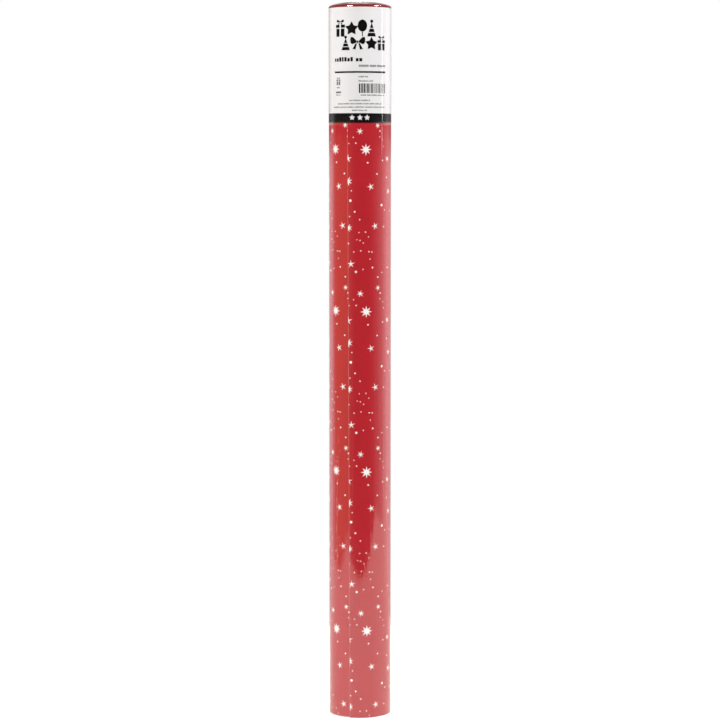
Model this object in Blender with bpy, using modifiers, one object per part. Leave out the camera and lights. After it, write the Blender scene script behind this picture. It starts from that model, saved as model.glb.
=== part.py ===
"""A roll of printed wrapping paper, standing on one end.

Printed paper is wound on a paperboard core, a printed label lies on the front of its top end, and a
sleeve of clear shrink film holds everything. The roll stands with its axis along +Z and its origin at the
centre of the film's flat foot. The web is drawn with fewer, thicker laps than the real one.
"""
import math

import bmesh
import bpy

# Driving dimensions, in metres.
PAPER_WIDTH = 0.500          # width of the wound paper, and length of the core
FILM_RADIUS = 0.0222         # outside of the shrink film
FILM_THICKNESS = 0.00015
CORE_BORE_RADIUS = 0.0118
PLY_THICKNESS = 0.00045      # each of the two plies of the core
LABEL_WIDTH = 0.066          # round the roll
LABEL_HEIGHT = 0.080
LABEL_THICKNESS = 0.00015
LABEL_DROP = 0.0009          # the label's upper edge lies this far below the outermost lap's
GAP = 0.0003                 # kept between pieces that touch
FILM_GAP = 0.0002            # from the film to the label under it

# The wound web.
LAPS = 8
FREE_EDGE_ANGLE = math.radians(-114)   # where the outer end of the web lies, from +X towards +Y
GLUE_WIDTH = 0.008           # pick-up glue that holds the inner end of the web on the core
GLUE_THICKNESS = 0.0006
GLUE_MARGIN = 0.010          # the glue line stops short of both ends of the core

# The ends: the inner laps stand proud at the top, so the film closes over a low crown.
CROWN_HEIGHT = 0.0036
FILM_HOLE_RADIUS = 0.0095    # the film draws back to a round hole at both ends
FOOT_ROUND = 0.0008          # edge radius of the film's flat foot

SEGMENTS = 48                # round the roll
CROWN_STEPS = 7
FOOT_STEPS = 3

# Radii and levels that follow from those.
LABEL_OUTER_RADIUS = FILM_RADIUS - FILM_THICKNESS - FILM_GAP
PAPER_RADIUS = LABEL_OUTER_RADIUS - LABEL_THICKNESS - GAP
CORE_RADIUS = CORE_BORE_RADIUS + 2 * PLY_THICKNESS + GAP
LAP_PITCH = (PAPER_RADIUS - CORE_RADIUS - GAP) / (LAPS + 1)
LAP_THICKNESS = LAP_PITCH - GAP
FOOT_LEVEL = FILM_THICKNESS + GAP      # lower edge of the outermost lap
TOP_LEVEL = FOOT_LEVEL + PAPER_WIDTH   # upper edge of the outermost lap
CROWN_COVER = 0.00055                  # the film's outside is this far above the laps


def crown(radius):
    """Height of the domed end above its rim, at a distance from the axis."""
    return CROWN_HEIGHT * math.sqrt(1 - (radius / FILM_RADIUS) ** 2)


def lap_shift(radius):
    """How far a lap has slid up past the outermost lap."""
    return crown(radius) - crown(PAPER_RADIUS)


FILM_RIM_LEVEL = TOP_LEVEL + CROWN_COVER - crown(PAPER_RADIUS)


def clear_scene():
    """Remove every object that the file opened with."""
    for obj in list(bpy.data.objects):
        bpy.data.objects.remove(obj, do_unlink=True)


def make_collection(name):
    """A new collection in the scene."""
    collection = bpy.data.collections.new(name)
    bpy.context.scene.collection.children.link(collection)
    return collection


def make_material(name, color, roughness, alpha=1.0):
    """A plain Principled finish: nothing on this roll is metal."""
    material = bpy.data.materials.new(name)
    material.use_nodes = True
    shader = material.node_tree.nodes["Principled BSDF"]
    shader.inputs["Base Color"].default_value = (*color, 1.0)
    shader.inputs["Roughness"].default_value = roughness
    shader.inputs["Metallic"].default_value = 0.0
    shader.inputs["Alpha"].default_value = alpha
    return material


def add_object(name, mesh, material, collection, parent):
    """Put a mesh in the scene as one named piece."""
    mesh.materials.append(material)
    obj = bpy.data.objects.new(name, mesh)
    collection.objects.link(obj)
    obj.parent = parent
    return obj


def line_mesh(name, points, closed=False):
    """A mesh of edges through the points."""
    edges = [(i, i + 1) for i in range(len(points) - 1)]
    if closed:
        edges.append((len(points) - 1, 0))
    mesh = bpy.data.meshes.new(name)
    mesh.from_pydata(points, edges, [])
    return mesh


def add_screw(obj):
    """Turn a profile in the XZ plane once round the Z axis."""
    screw = obj.modifiers.new("Turn", "SCREW")
    screw.axis = "Z"
    screw.angle = 2 * math.pi
    screw.steps = SEGMENTS
    screw.render_steps = SEGMENTS
    screw.use_merge_vertices = True
    screw.merge_threshold = 0.00001
    screw.use_smooth_shade = False


def add_solidify(obj, thickness):
    """Give a surface its thickness, laid on the inner side."""
    solidify = obj.modifiers.new("Thickness", "SOLIDIFY")
    solidify.thickness = thickness
    solidify.offset = -1
    solidify.use_even_offset = True
    solidify.use_rim = True


def make_tube(name, inner_radius, thickness, low, high, material, collection, parent):
    """A plain tube, turned from its rectangular wall section."""
    outer_radius = inner_radius + thickness
    section = [
        (outer_radius, 0, high),
        (outer_radius, 0, low),
        (inner_radius, 0, low),
        (inner_radius, 0, high),
    ]
    obj = add_object(name, line_mesh(name, section, closed=True), material, collection, parent)
    add_screw(obj)
    return obj


def make_sheet(name, line, width, thickness, material, collection, parent):
    """A bent sheet: its lower edge follows the line, and it stands up from it by its width."""
    bm = bmesh.new()
    verts = [bm.verts.new(point) for point in line]
    edges = [bm.edges.new(pair) for pair in zip(verts, verts[1:])]
    upper = bmesh.ops.extrude_edge_only(bm, edges=edges)["geom"]
    raised = [item for item in upper if isinstance(item, bmesh.types.BMVert)]
    bmesh.ops.translate(bm, verts=raised, vec=(0, 0, width))
    face_outwards(bm)
    mesh = bpy.data.meshes.new(name)
    bm.to_mesh(mesh)
    bm.free()
    obj = add_object(name, mesh, material, collection, parent)
    add_solidify(obj, thickness)
    return obj


def face_outwards(bm):
    """Turn the faces of a standing sheet away from the Z axis."""
    bm.normal_update()
    for face in bm.faces:
        middle = face.calc_center_median()
        if face.normal.x * middle.x + face.normal.y * middle.y < 0:
            face.normal_flip()


def polar(radius, angle, level):
    """A point from its distance to the axis, its angle and its height."""
    return (radius * math.cos(angle), radius * math.sin(angle), level)


def web_line():
    """Lower edge of the web's outer face: a spiral, each lap slid up past the one round it."""
    points = []
    count = LAPS * SEGMENTS
    for step in range(count + 1):
        turns_in = step / SEGMENTS
        radius = PAPER_RADIUS - LAP_PITCH * turns_in
        angle = FREE_EDGE_ANGLE + 2 * math.pi * turns_in
        points.append(polar(radius, angle, FOOT_LEVEL + lap_shift(radius)))
    return points


def arc_line(radius, middle_angle, width, level, steps):
    """A level arc with its middle at the given angle."""
    half = width / (2 * radius)
    angles = [middle_angle - half + 2 * half * step / steps for step in range(steps + 1)]
    return [polar(radius, angle, level) for angle in angles]


def film_profile():
    """Outer side of the film from the top hole, over the crown and down to the foot's hole."""
    points = []
    first = math.asin(FILM_HOLE_RADIUS / FILM_RADIUS)
    for step in range(CROWN_STEPS + 1):
        turn = first + (math.pi / 2 - first) * step / CROWN_STEPS
        level = FILM_RIM_LEVEL + CROWN_HEIGHT * math.cos(turn)
        points.append((FILM_RADIUS * math.sin(turn), 0, level))
    for step in range(FOOT_STEPS + 1):
        turn = math.pi / 2 * step / FOOT_STEPS
        radius = FILM_RADIUS - FOOT_ROUND * (1 - math.cos(turn))
        points.append((radius, 0, FOOT_ROUND * (1 - math.sin(turn))))
    points.append((FILM_HOLE_RADIUS, 0, 0))
    return points


def build_core(collection, parent):
    """Two paperboard plies, and the glue line that picks up the web."""
    board = make_material("core_board", (0.36, 0.24, 0.14), 0.85)
    liner = make_material("core_liner", (0.42, 0.29, 0.18), 0.85)
    glue = make_material("pickup_glue", (0.75, 0.70, 0.55), 0.4)
    low = FOOT_LEVEL + lap_shift(CORE_RADIUS)
    high = low + PAPER_WIDTH
    make_tube("core_inner_ply", CORE_BORE_RADIUS, PLY_THICKNESS, low, high, liner, collection, parent)
    outer_ply_radius = CORE_BORE_RADIUS + PLY_THICKNESS + GAP
    make_tube("core_outer_ply", outer_ply_radius, PLY_THICKNESS, low, high, board, collection, parent)
    glue_radius = CORE_RADIUS + GAP + GLUE_THICKNESS
    inner_end = FREE_EDGE_ANGLE + 2 * math.pi * LAPS
    glue_angle = inner_end + (GLUE_WIDTH / 2 + GAP) / glue_radius
    line = arc_line(glue_radius, glue_angle, GLUE_WIDTH, low + GLUE_MARGIN, 4)
    length = PAPER_WIDTH - 2 * GLUE_MARGIN
    make_sheet("start_glue", line, length, GLUE_THICKNESS, glue, collection, parent)


def build_web(collection, parent):
    """The wound paper, one sheet from the core to its free edge."""
    paper = make_material("printed_paper", (0.55, 0.025, 0.035), 0.45)
    make_sheet("paper_web", web_line(), PAPER_WIDTH, LAP_THICKNESS, paper, collection, parent)


def build_wrapper(collection, parent):
    """The label on the front, and the film round everything."""
    label = make_material("label_paper", (0.86, 0.85, 0.84), 0.5)
    steps = round(SEGMENTS * LABEL_WIDTH / (2 * math.pi * LABEL_OUTER_RADIUS))
    low = TOP_LEVEL - LABEL_DROP - LABEL_HEIGHT
    line = arc_line(LABEL_OUTER_RADIUS, -math.pi / 2, LABEL_WIDTH, low, steps)
    make_sheet("label", line, LABEL_HEIGHT, LABEL_THICKNESS, label, collection, parent)
    film = make_material("clear_film", (0.95, 0.95, 0.95), 0.08, alpha=0.3)
    mesh = line_mesh("shrink_film", film_profile())
    obj = add_object("shrink_film", mesh, film, collection, parent)
    add_screw(obj)
    add_solidify(obj, FILM_THICKNESS)


def main():
    """Build the roll and its wrapper."""
    clear_scene()
    collection = make_collection("wrapping_paper_roll")
    wrapper = bpy.data.objects.new("wrapper", None)
    roll = bpy.data.objects.new("roll", None)
    for empty in (wrapper, roll):
        collection.objects.link(empty)
    build_core(collection, roll)
    build_web(collection, roll)
    build_wrapper(collection, wrapper)


main()
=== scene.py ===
# %% [markdown]
# # A roll of star-printed wrapping paper in clear film
#
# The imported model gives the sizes: a core, a wound web, a label and a film sleeve. This script loads it
# and dresses it. Each solid is replaced by a finished piece that lies in the same place. All lengths are
# metres unless a name says otherwise, +Z runs up the roll, and the front looks along -Y.

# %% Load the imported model
import math
import random

import bpy
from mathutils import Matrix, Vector, noise
from mathutils.geometry import delaunay_2d_cdt


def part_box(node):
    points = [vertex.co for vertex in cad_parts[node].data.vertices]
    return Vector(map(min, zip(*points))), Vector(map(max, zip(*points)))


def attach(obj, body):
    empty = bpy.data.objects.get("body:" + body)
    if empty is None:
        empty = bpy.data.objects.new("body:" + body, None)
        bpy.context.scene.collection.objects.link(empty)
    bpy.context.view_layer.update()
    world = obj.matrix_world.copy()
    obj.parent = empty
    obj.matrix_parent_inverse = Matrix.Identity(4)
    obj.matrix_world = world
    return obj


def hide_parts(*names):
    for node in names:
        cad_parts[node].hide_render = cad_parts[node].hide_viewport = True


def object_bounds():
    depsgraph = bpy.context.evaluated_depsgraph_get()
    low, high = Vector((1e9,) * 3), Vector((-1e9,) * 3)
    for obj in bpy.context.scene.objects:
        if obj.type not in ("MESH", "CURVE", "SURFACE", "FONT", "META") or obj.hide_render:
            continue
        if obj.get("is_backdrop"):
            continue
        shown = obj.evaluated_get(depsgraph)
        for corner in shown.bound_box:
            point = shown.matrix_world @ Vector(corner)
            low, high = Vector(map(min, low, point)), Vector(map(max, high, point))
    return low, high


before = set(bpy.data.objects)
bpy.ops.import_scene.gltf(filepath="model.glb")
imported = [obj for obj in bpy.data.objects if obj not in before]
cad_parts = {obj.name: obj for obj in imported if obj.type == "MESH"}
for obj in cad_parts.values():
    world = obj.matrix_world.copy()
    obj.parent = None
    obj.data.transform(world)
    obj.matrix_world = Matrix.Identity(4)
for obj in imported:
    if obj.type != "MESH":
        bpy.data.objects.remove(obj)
CAD_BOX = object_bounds()
MM = 0.001

# %% [markdown]
# ## Camera
#
# The roll is seen from 1.7 m, nearly level with its upper part, through a long lens. A long lens keeps
# the two sides of the roll almost parallel. The camera tips down a few degrees and has no shift, so the
# same camera also serves the other views.

# %% Camera
CAMERA_DISTANCE = 1.698
CAMERA_HEIGHT = 0.3912
CAMERA_DIP = math.radians(4.654)

camera_data = bpy.data.cameras.new("camera")
camera_data.lens = 120.1
camera_data.sensor_width = 36.0
camera_data.clip_start = 0.05
camera = bpy.data.objects.new("camera", camera_data)
camera.location = (0, -CAMERA_DISTANCE, CAMERA_HEIGHT)
camera.rotation_euler = (math.pi / 2 - CAMERA_DIP, 0, 0)
bpy.context.scene.collection.objects.link(camera)
bpy.context.scene.camera = camera
print("camera at", [round(x, 3) for x in camera.location])

# %% [markdown]
# ## Node helpers
#
# Every finish below is a small node tree. Building one node takes several calls, so short helpers do
# that: some add or place a node, some do one sum or one blend, and one starts a material with a
# Principled BSDF. A value that is the same all over a surface is set on the shader's own socket.

# %% Nodes, materials and groups
def add_node(tree, kind, inputs=None, **settings):
    """Add a node, set its properties, and set or link its inputs by name or number."""
    made = tree.nodes.new(kind)
    for key, value in settings.items():
        setattr(made, key, value)
    for key, value in (inputs or {}).items():
        if isinstance(value, bpy.types.NodeSocket):
            tree.links.new(value, made.inputs[key])
        else:
            made.inputs[key].default_value = value
    return made


def start_material(name, roughness, **values):
    """A material with a Principled BSDF whose plain values are set. Returns material, tree and shader."""
    material = bpy.data.materials.new(name)
    material.use_nodes = True
    tree = material.node_tree
    shader = tree.nodes["Principled BSDF"]
    shader.inputs["Roughness"].default_value = roughness
    for key, value in values.items():
        shader.inputs[key.replace("_", " ")].default_value = value
    return material, tree, shader


def start_group(name, inputs, outputs):
    """A node group with float inputs (name to default) and outputs (name to socket type)."""
    group = bpy.data.node_groups.new(name, "ShaderNodeTree")
    for key, default in inputs.items():
        socket = group.interface.new_socket(name=key, in_out="INPUT", socket_type="NodeSocketFloat")
        socket.default_value = default
    for key, kind in outputs.items():
        group.interface.new_socket(name=key, in_out="OUTPUT", socket_type=kind)
    entry = group.nodes.new("NodeGroupInput")
    exit_node = group.nodes.new("NodeGroupOutput")
    return group, entry, exit_node


def use_group(tree, group, **inputs):
    """Place a group in a material with its own values."""
    made = tree.nodes.new("ShaderNodeGroup")
    made.node_tree = group
    for key, value in inputs.items():
        made.inputs[key.replace("_", " ")].default_value = value
    return made


print("helpers", [made.__name__ for made in (add_node, start_material, start_group, use_group)])

# %% Blends, sums, noise and relief
def mix_colors(tree, factor, first, second):
    """Blend two colours, or two colour sockets."""
    return add_node(
        tree,
        "ShaderNodeMix",
        {"Factor": factor, 6: first, 7: second},
        data_type="RGBA",
    ).outputs[2]


def math_node(tree, operation, first, second=0.0):
    """One sum."""
    return add_node(tree, "ShaderNodeMath", {0: first, 1: second}, operation=operation).outputs[0]


def noise_texture(tree, place, scale, detail=2.0):
    """Cloudy noise between 0 and 1."""
    made = add_node(tree, "ShaderNodeTexNoise", {"Vector": place, "Scale": scale, "Detail": detail})
    return made.outputs["Fac"]


def bump(tree, height, distance):
    """A Bump node fed by a height, in metres of relief."""
    made = add_node(tree, "ShaderNodeBump", {"Height": height, "Distance": distance, "Strength": 1.0})
    return made.outputs["Normal"]


print("helpers", [made.__name__ for made in (mix_colors, math_node, noise_texture, bump)])

# %% [markdown]
# ## Shared effects
#
# Three effects turn up in more than one finish, so each is a node group:
#
# - paper_fibre: the cloudy, slightly streaky formation that any sheet of paper or board has.
# - ink_pinholes: the fine specks where ink did not cover the sheet.
# - the end mask: a ragged mask that is 0 along the middle and rises near a lower and an upper level. The
#   same group makes the rubbed ends of the board, the painted shade at the ends of the red paper and at
#   the film's foot, and the wrinkles and gathers at the ends of the film.

# %% Paper fibre group
FIBRE_SHARE = 0.6              # how much the fine fibre counts, next to the cloudy tone


def build_paper_fibre():
    """Cloudy tone and fine relief, stretched a little along the machine direction."""
    group, entry, out = start_group(
        "paper_fibre",
        {"Cloud Scale": 120.0, "Fibre Scale": 2600.0},
        {"Tone": "NodeSocketFloat", "Height": "NodeSocketFloat"},
    )
    place = add_node(group, "ShaderNodeTexCoord").outputs["Object"]
    stretched = add_node(group, "ShaderNodeMapping", {"Vector": place, "Scale": (1.0, 1.0, 0.45)})
    cloud = noise_texture(group, place, entry.outputs["Cloud Scale"], 4.0)
    fibre = noise_texture(group, stretched.outputs[0], entry.outputs["Fibre Scale"], 3.0)
    tone = math_node(group, "ADD", cloud, math_node(group, "MULTIPLY", fibre, FIBRE_SHARE))
    tone = math_node(group, "MULTIPLY", tone, 1 / (1 + FIBRE_SHARE))
    group.links.new(tone, out.inputs["Tone"])
    group.links.new(fibre, out.inputs["Height"])
    return group


PAPER_FIBRE = build_paper_fibre()
print("group", PAPER_FIBRE.name, len(PAPER_FIBRE.nodes), "nodes")

# %% Ink pinholes group
SPECK_FLOOR, SPECK_FULL = 0.82, 0.85   # noise values where a speck starts, at no amount, and is full


def build_ink_pinholes():
    """A mask that is 1 on small scattered specks."""
    group, entry, out = start_group(
        "ink_pinholes",
        {"Scale": 1500.0, "Amount": 0.1},
        {"Specks": "NodeSocketFloat"},
    )
    place = add_node(group, "ShaderNodeTexCoord").outputs["Object"]
    cells = noise_texture(group, place, entry.outputs["Scale"], 1.0)
    level = math_node(group, "SUBTRACT", SPECK_FLOOR, entry.outputs["Amount"])
    specks = add_node(
        group,
        "ShaderNodeMapRange",
        {"Value": cells, "From Min": level, "From Max": SPECK_FULL},
    )
    group.links.new(specks.outputs[0], out.inputs["Specks"])
    return group


INK_PINHOLES = build_ink_pinholes()
print("group", INK_PINHOLES.name, len(INK_PINHOLES.nodes), "nodes")

# %% End scuff group
def build_end_mask():
    """A mask that rises to full at two heights and beyond them, broken up by noise."""
    group, entry, out = start_group(
        "end_mask",
        {"Lower End": 0.0, "Upper End": 0.5, "Reach": 0.004},
        {"Near End": "NodeSocketFloat"},
    )
    place = add_node(group, "ShaderNodeTexCoord").outputs["Object"]
    level = add_node(group, "ShaderNodeSeparateXYZ", {0: place}).outputs["Z"]
    below = math_node(group, "SUBTRACT", level, entry.outputs["Lower End"])
    above = math_node(group, "SUBTRACT", entry.outputs["Upper End"], level)
    nearest = math_node(group, "MINIMUM", below, above)
    closeness = math_node(group, "SUBTRACT", 1.0, math_node(group, "DIVIDE", nearest, entry.outputs["Reach"]))
    ragged_band = math_node(group, "MULTIPLY", closeness, noise_texture(group, place, 900.0, 3.0))
    clipped = add_node(group, "ShaderNodeClamp", {"Value": ragged_band}).outputs[0]
    group.links.new(clipped, out.inputs["Near End"])
    return group


END_MASK = build_end_mask()
print("groups so far", [group.name for group in bpy.data.node_groups])

# %% [markdown]
# ## Paper and ink finishes
#
# Gift wrap is a coated white sheet, flooded with red ink that leaves the stars bare. The ink lies in the
# coating and takes its slight gloss. Its tone drifts with the sheet's formation. Within two millimetres of
# the cut ends it is darkened by painted shade, which stands in for the shade between the laps and at the
# foot. The back of the sheet is uncoated. Cut edges show the white pulp with a trace of the red. A flat
# colour would look like plastic, so each finish blends two close tones.

# %% Paper and ink finishes
ROUGHNESS_DRIFT = 0.05         # the gloss of paper drifts this far either way


def paper_finish(name, color, shade, roughness, relief, pinholes=0.0, speck_color=None, end_shade=None):
    """Coated or plain paper: two close tones from its formation, fine relief, optional specks and end shade.

    The end shade is a colour, and how far in from the ends it reaches: painted shade that darkens the sheet
    near its cut ends."""
    material, tree, shader = start_material(name, roughness, Specular_IOR_Level=0.08)
    fibre = use_group(tree, PAPER_FIBRE)
    tone = mix_colors(tree, fibre.outputs["Tone"], (*shade, 1), (*color, 1))
    if speck_color:
        holes = use_group(tree, INK_PINHOLES, Amount=pinholes)
        tone = mix_colors(tree, holes.outputs["Specks"], tone, (*speck_color, 1))
    # Painted shade: a dark colour mixed in near the cut ends stands in for the shade between the laps and at
    # the foot.
    if end_shade:
        edge_band = use_group(tree, END_MASK, Reach=end_shade[1])
        tone = mix_colors(tree, edge_band.outputs["Near End"], tone, (*end_shade[0], 1))
    tree.links.new(tone, shader.inputs["Base Color"])
    grain = add_node(
        tree,
        "ShaderNodeMapRange",
        {
            "Value": fibre.outputs["Tone"],
            "To Min": roughness - ROUGHNESS_DRIFT,
            "To Max": roughness + ROUGHNESS_DRIFT,
        },
    )
    tree.links.new(grain.outputs[0], shader.inputs["Roughness"])
    tree.links.new(bump(tree, fibre.outputs["Height"], relief), shader.inputs["Normal"])
    return material


WHITE_SHEET = (0.92, 0.91, 0.89)
RED_INK = paper_finish(
    "red_ink",
    (0.490, 0.0190, 0.0290),
    (0.440, 0.0160, 0.0250),
    roughness=0.42,
    relief=0.00002,
    pinholes=0.06,
    speck_color=(0.62, 0.10, 0.10),
    # painted shade: dark red near both cut ends, for the shade between the laps at the top and at the foot
    end_shade=((0.20, 0.012, 0.016), 0.0018),
)
BARE_COAT = paper_finish("bare_coating", WHITE_SHEET, (0.88, 0.865, 0.85), 0.40, 0.00002)
SHEET_BACK = paper_finish("sheet_back", (0.80, 0.78, 0.75), (0.72, 0.70, 0.67), 0.80, 0.00004)
CUT_EDGE = paper_finish("cut_edge", (0.80, 0.62, 0.60), (0.66, 0.36, 0.35), 0.85, 0.00005)
print("paper finishes", RED_INK.name, BARE_COAT.name, SHEET_BACK.name, CUT_EDGE.name)

# %% [markdown]
# ## Where the laps lie
#
# The web is one sheet about a tenth of a millimetre thick. Going in from its free edge, each lap lies one
# thickness nearer the core and has slid up a little past the lap round it, fast near the outside and
# then less and less. That makes the low dome at the top end and the matching hollow at the foot.
#
# One function gives the place of any point of the sheet from the distance wound in from the free edge and
# the height across the web, so the printed part and the plain laps can't disagree.

# %% Lap geometry
CORE_LOW, CORE_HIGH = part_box("core_outer_ply")
FILM_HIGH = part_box("shrink_film")[1]
PAPER_WIDTH = CORE_HIGH.z - CORE_LOW.z
FILM_RADIUS = FILM_HIGH.x
CORE_RADIUS = CORE_HIGH.x

SHEET_THICKNESS = 0.09 * MM
LAP_PITCH = 0.1 * MM
GLUE_ROOM = 0.19 * MM          # left for the glue between the core and the first lap
WEB_RADIUS = FILM_RADIUS - 0.35 * MM
LAP_COUNT = (WEB_RADIUS - CORE_RADIUS - GLUE_ROOM) / LAP_PITCH
WEB_FOOT = 0.13 * MM           # lower edge of the outermost lap, clear of the film's corner
LAP_RISE = 2.45 * MM           # how far the innermost lap stands above the outermost
RISE_POWER = 0.36              # a circle's arc would be 0.5; less makes a flatter dome with a steeper rim
FREE_EDGE_ANGLE = math.radians(-90 - 23.1)
WRAP_TWIST = math.radians(-2.8)   # the print isn't quite parallel to the axis
CUT_SLANT = 1.0 * MM           # and the free edge was cut a little askew


def lap_rise(turns):
    """How far a lap has slid up, by the number of turns in from the free edge."""
    rest = 1 - min(max(turns / LAP_COUNT, 0.0), 1.0)
    return LAP_RISE * max(1 - rest * rest, 0.0) ** RISE_POWER


def turns_at(distance):
    """Turns wound in, for a distance along the sheet from its free edge."""
    outer = 2 * math.pi * WEB_RADIUS
    shrink = math.pi * LAP_PITCH
    return (outer - math.sqrt(outer * outer - 4 * shrink * distance)) / (2 * shrink)


def sheet_point(turns, height, depth=0.0):
    """A point of the wound sheet: turns in, height across the web, depth below its printed face."""
    radius = WEB_RADIUS - LAP_PITCH * turns - depth
    twist = WRAP_TWIST * (0.5 - height / PAPER_WIDTH)
    angle = FREE_EDGE_ANGLE + 2 * math.pi * turns - twist
    return Vector((
        radius * math.cos(angle),
        radius * math.sin(angle),
        WEB_FOOT + height + lap_rise(turns),
    ))


print("laps", round(LAP_COUNT, 1), "length", round(LAP_COUNT * math.pi * (WEB_RADIUS + CORE_RADIUS), 2), "m")

# %% [markdown]
# ## The print
#
# The print repeats every 113 mm, both across the web and along it. It could be an image or a procedural
# texture, but cut outlines stay crisp at any distance, so the motifs are drawn as flat polygons and the
# sheet is triangulated round them. The stars are listed one by one, and so are the dots near the free edge.
# A rule sprinkles dots over the rest of the repeat.

# %% Motifs of one repeat
REPEAT_MM = 113.0
STAR_KINDS = {             # points, the waist's radius over the tip's, and how far the tips reach
    "eight": (8, 0.39, 1.07),
    "six": (6, 0.27, 1.15),
    "five": (5, 0.25, 1.15),
}

STARS = [                  # mm along the sheet, mm up the repeat, kind, mm across the tips
    (13.3, 62.1, "eight", 7.9),
    (16.7, 36.3, "five", 5.0),
    (20.0, 8.9, "five", 5.0),
    (2.5, 95.6, "five", 5.2),
    (9.1, 74.8, "six", 4.6),
    (22.3, 78.7, "six", 3.9),
    (0.35, 56.1, "five", 5.4),
    (0.35, 40.4, "eight", 6.4),
    (0.6, 7.8, "eight", 5.8),
    (32.0, 55.7, "six", 4.2),
    (33.5, 33.0, "five", 4.8),
    (47.5, 70.5, "eight", 6.8),
    (44.0, 14.5, "eight", 6.0),
    (55.0, 44.0, "five", 5.0),
    (62.0, 92.0, "six", 4.6),
    (68.5, 24.0, "eight", 7.2),
    (77.0, 61.5, "five", 5.2),
    (83.5, 103.0, "eight", 6.4),
    (90.0, 37.0, "six", 4.4),
    (98.0, 80.0, "eight", 7.0),
    (101.5, 14.0, "five", 5.0),
    (51.5, 105.0, "five", 4.8),
]
DOTS_HAND_PLACED = [       # mm along the sheet, mm up the repeat, mm across
    (2.2, 26.8, 2.1), (25.7, 23.4, 2.0), (6.1, 90.1, 1.8), (24.3, 75.0, 1.4), (14.5, 53.0, 1.5),
    (26.6, 54.5, 1.4), (21.6, 45.2, 1.5), (31.1, 42.7, 1.4), (5.3, 19.0, 1.6), (28.7, 20.0, 1.3),
    (36.0, 19.4, 1.5), (8.8, 13.5, 1.2), (27.6, 8.4, 1.4), (0.6, 110.0, 1.5), (17.9, 93.0, 1.5),
    (32.2, 92.6, 1.6), (38.6, 91.6, 1.5), (22.2, 86.2, 1.4), (6.2, 66.6, 1.2), (4.4, 70.7, 1.0),
    (24.1, 71.0, 1.0), (26.7, 68.8, 1.0), (1.2, 66.5, 0.9), (27.5, 64.4, 1.0), (3.0, 33.6, 1.1),
    (1.6, 15.7, 1.1), (8.3, 4.6, 1.0), (12.9, 4.8, 1.2), (15.0, 1.4, 1.0), (6.8, 112.5, 0.9),
    (9.0, 112.0, 1.1), (11.3, 110.2, 1.0), (4.6, 104.0, 1.1), (9.5, 104.8, 1.2), (15.3, 104.1, 1.3),
    (17.5, 103.9, 1.2), (16.1, 98.9, 1.0), (11.1, 91.8, 1.1), (25.9, 89.4, 1.1),
]


SPRINKLE_FIRST, SPRINKLE_LAST = 41, 111   # mm along the sheet
SPRINKLE_COUNT = 95
SPRINKLE_GAP = 1.3         # mm between motifs, at least
BIG_DOT = 1.7              # mm; the ink flows less far into a big dot
print("placed by hand", len(STARS), "stars and", len(DOTS_HAND_PLACED), "dots")

# %% Outlines of the motifs
def polygon(across, corners, waist=1.0, tilt=0.0):
    """Outline of a star, or of a dot when the waist is 1."""
    count = corners * 2 if waist < 1 else corners
    points = []
    for step in range(count):
        radius = across / 2 * (waist if step % 2 and waist < 1 else 1)
        angle = math.pi / 2 + tilt + 2 * math.pi * step / count
        points.append((radius * math.cos(angle), radius * math.sin(angle)))
    return points


def sprinkle_dots(stars, dots, first, last, wanted):
    """Fill the stretch of the repeat between two distances with small dots that keep clear of the rest."""
    rng = random.Random(7)
    taken = [(star[0], star[1], star[3]) for star in stars] + list(dots)
    added = []
    while len(added) < wanted:
        across = rng.choice((0.9, 1.0, 1.1, 1.2, 1.5, 1.6, 2.0))
        spot = (rng.uniform(first, last), rng.uniform(0, REPEAT_MM))
        clear = True
        for x, y, size in taken:
            rise = abs(spot[1] - y)
            gap = math.hypot(spot[0] - x, min(rise, REPEAT_MM - rise))
            clear = clear and gap > (size + across) / 2 + SPRINKLE_GAP
        if clear:
            taken.append((*spot, across))
            added.append((*spot, across))
    return added


def repeat_outlines():
    """Every motif of one repeat, as outlines in mm."""
    outlines = []
    for index, (x, y, kind, across) in enumerate(STARS):
        corners, waist, spread = STAR_KINDS[kind]
        tilt = 0.35 * math.sin(7.3 * index)
        outlines.append([(x + px, y + py) for px, py in polygon(across * spread, corners, waist, tilt)])
    sprinkled = sprinkle_dots(STARS, DOTS_HAND_PLACED, SPRINKLE_FIRST, SPRINKLE_LAST, SPRINKLE_COUNT)
    for x, y, across in DOTS_HAND_PLACED + sprinkled:
        corners = 10 if across > 1.3 else 8
        printed = across * (0.92 if across > BIG_DOT else 0.78)
        outlines.append([(x + px, y + py) for px, py in polygon(printed, corners)])
    return outlines


OUTLINES = repeat_outlines()
print("motifs in a repeat", len(OUTLINES))

# %% [markdown]
# ## Triangulating a printed sheet
#
# Blender's delaunay_2d_cdt takes a flat drawing of points, lines and outlines, and gives triangles that
# keep to all of them. Upright lines every millimetre let the flat sheet be bent round the roll later
# without its long triangles cutting the corner. Each triangle also reports which outlines it lies in, so
# its ink follows from that.

# %% Flat printed sheet
def triangulate(width, height, outlines, column_step, row_step, slant=0.0):
    """Split a flat sheet along a grid and round outlines. Gives points and (triangle, outline ids).

    A slant moves the lower left corner to the right, for a sheet that was cut a little askew."""
    points, edges, faces = [], [], []

    def add(chain):
        start = len(points)
        points.extend(Vector(p) for p in chain)
        return list(range(start, start + len(chain)))

    faces.append(add([(slant, 0), (width, 0), (width, height), (0, height)]))
    for step in range(1, math.ceil(width / column_step)):
        edges.append(tuple(add([(step * column_step, 0), (step * column_step, height)])))
    for step in range(1, math.ceil(height / row_step)):
        edges.append(tuple(add([(0, step * row_step), (width, step * row_step)])))
    for outline in outlines:
        faces.append(add(outline))
    flat, _, triangles, _, _, inside = delaunay_2d_cdt(points, edges, faces, 1, 1e-6)
    kept = [(tri, ids) for tri, ids in zip(triangles, inside) if 0 in ids]
    used = sorted({index for tri, _ in kept for index in tri})
    renumber = {old: new for new, old in enumerate(used)}
    return [flat[old] for old in used], [(tuple(renumber[i] for i in tri), ids) for tri, ids in kept]


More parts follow.
